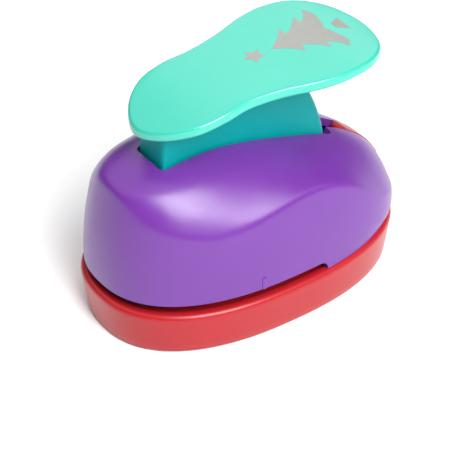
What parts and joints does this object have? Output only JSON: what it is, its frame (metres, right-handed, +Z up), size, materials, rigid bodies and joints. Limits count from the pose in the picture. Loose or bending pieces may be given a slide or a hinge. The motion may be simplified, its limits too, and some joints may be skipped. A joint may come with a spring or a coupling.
{
  "type": "craft_punch",
  "caption": "Lever craft punch with a red base, a domed purple cover, a mint thumb lever and a steel die that cuts a fir tree with its star and trunk out of card",
  "frame": {"origin": "on the table, under the middle of the part's bounding box", "axes": "+Y runs along the body from the paper throat to the raised end of the lever, +Z is up, +X is across the body"},
  "size_m": [0.0544, 0.0866, 0.0641],
  "materials": {
    "base_red": "glossy moulded ABS",
    "cover_purple": "satin gloss moulded ABS",
    "stem_teal": "satin moulded ABS",
    "plate_mint": "satin gloss moulded ABS",
    "ground_steel": "ground tool steel",
    "frame_zinc": "die-cast zinc, as cast",
    "screw_steel": "zinc plated steel",
    "spring_steel": "drawn spring wire",
    "foot_rubber": "matt moulded rubber"
  },
  "bodies": {
    "base": {"base_screw_front_left": "screw_steel", "base_screw_front_right": "screw_steel", "base_screw_rear_left": "screw_steel", "base_screw_rear_right": "screw_steel", "base_shell": "base_red", "cover_screw_left": "screw_steel", "cover_screw_right": "screw_steel", "cover_shell": "cover_purple", "die_plate": "ground_steel", "foot_front_left": "foot_rubber", "foot_front_right": "foot_rubber", "foot_rear_left": "foot_rubber", "foot_rear_right": "foot_rubber", "frame_screw_1": "screw_steel", "frame_screw_2": "screw_steel", "frame_screw_3": "screw_steel", "frame_screw_4": "screw_steel", "guide_block": "frame_zinc", "guide_post_left": "ground_steel", "guide_post_right": "ground_steel", "pin_clip_left": "spring_steel", "pin_clip_right": "spring_steel", "pivot_pin": "ground_steel", "rear_spine": "base_red", "return_spring_left": "spring_steel", "return_spring_right": "spring_steel", "throat_spacer": "frame_zinc"},
    "lever": {"lever_plate": "plate_mint", "lever_screw_1": "screw_steel", "lever_screw_2": "screw_steel", "lever_screw_3": "screw_steel", "lever_stem": "stem_teal"},
    "punch": {"head_screw_left": "screw_steel", "head_screw_right": "screw_steel", "punch_head": "frame_zinc", "star_cutter": "ground_steel", "tree_cutter": "ground_steel", "trunk_cutter": "ground_steel"}
  },
  "joints": [
    {"name": "lever_press", "type": "hinge", "parent": "base", "child": "lever", "pos_m": [0, -0.024, 0.033], "axis": [-1, 0, 0], "range_deg": [0, 10], "stiffness_Nm_per_rad": 0.3, "springref_deg": -8.59},
    {"name": "punch_stroke", "type": "slide", "parent": "base", "child": "punch", "axis": [0, 0, -1], "range_m": [0, 0.00419], "deforming": ["return_spring_left", "return_spring_right"]}
  ],
  "couplings": [
    {"joint": "punch_stroke", "follows": "lever_press", "m_per_rad": 0.024}
  ]
}
